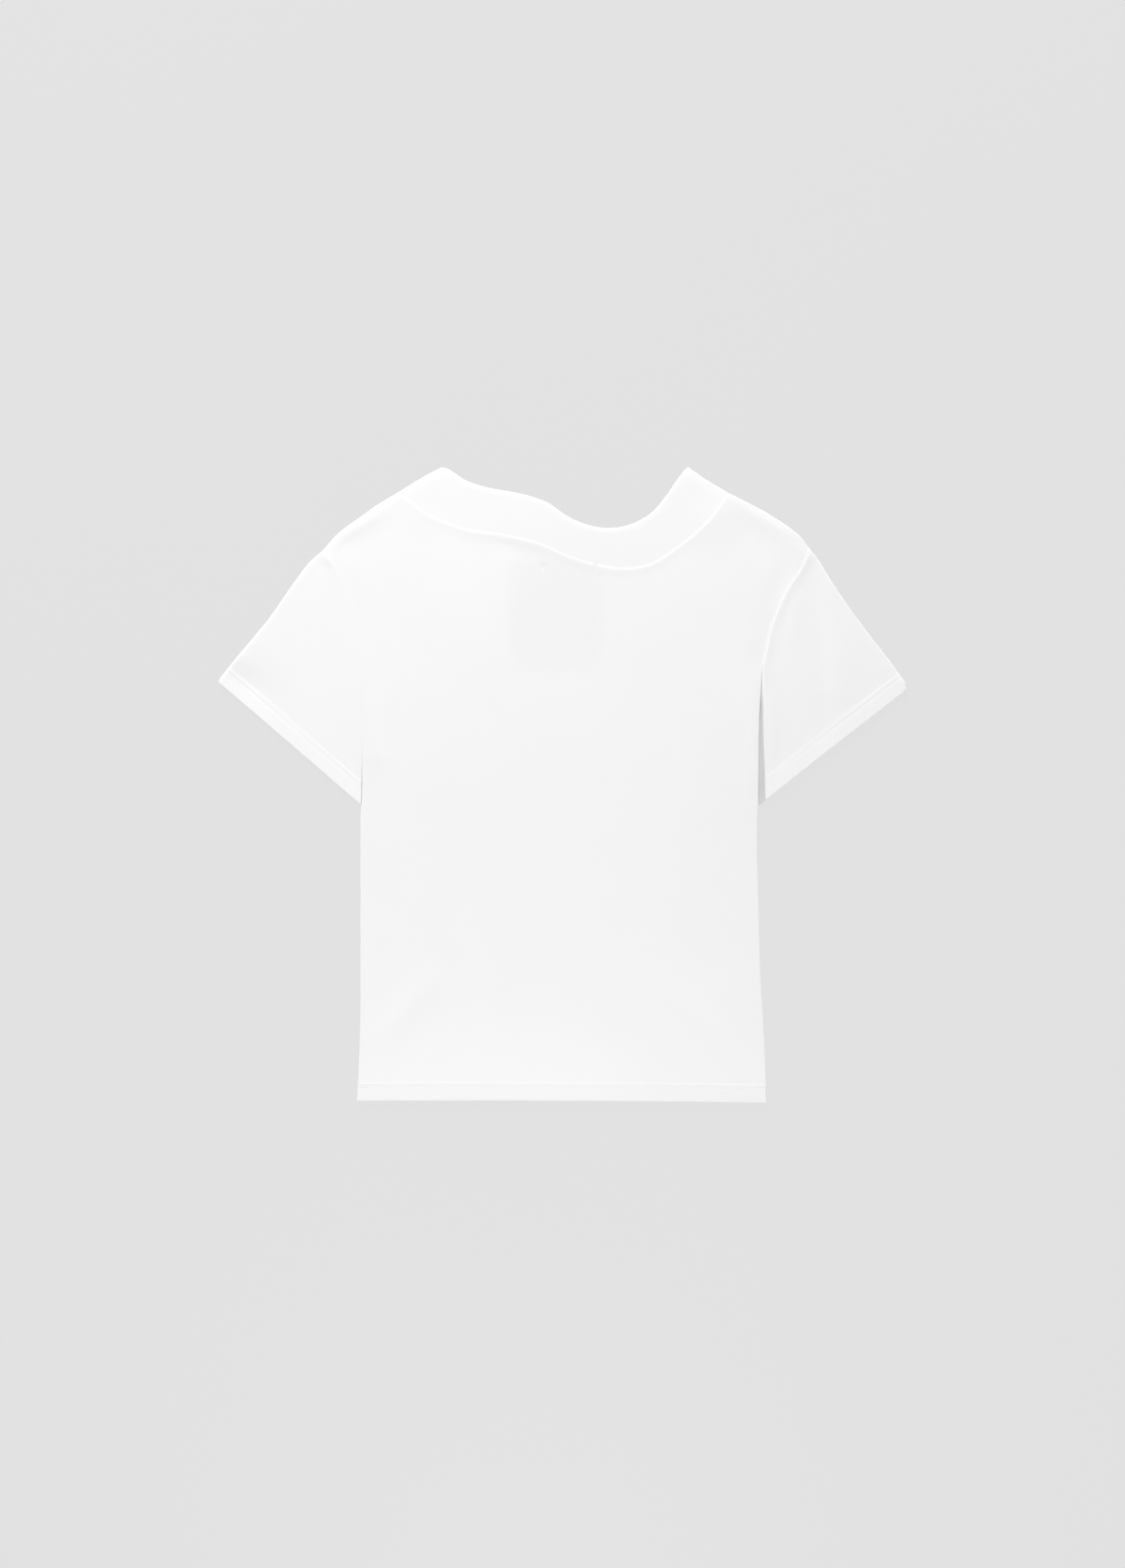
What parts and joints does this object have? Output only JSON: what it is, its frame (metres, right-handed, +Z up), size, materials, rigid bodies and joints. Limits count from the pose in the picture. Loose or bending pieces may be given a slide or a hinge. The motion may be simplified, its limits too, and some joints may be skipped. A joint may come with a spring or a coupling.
{
  "type": "t-shirt",
  "caption": "Plain white short-sleeved jersey T-shirt with a wide neckband, laid flat with its back up.",
  "frame": {"origin": "on the surface the shirt lies on, at the centre of its outline", "axes": "+X to the wearer's right sleeve, +Y from the hem to the neck, +Z up, out of the shirt's back"},
  "size_m": [0.6629, 0.6104, 0.0055],
  "materials": {
    "jersey": "matt fine cotton jersey, plain white"
  },
  "bodies": {
    "root": {"back_panel": "jersey", "front_panel": "jersey", "neckband": "jersey", "sleeve_left": "jersey", "sleeve_right": "jersey"}
  },
  "joints": []
}
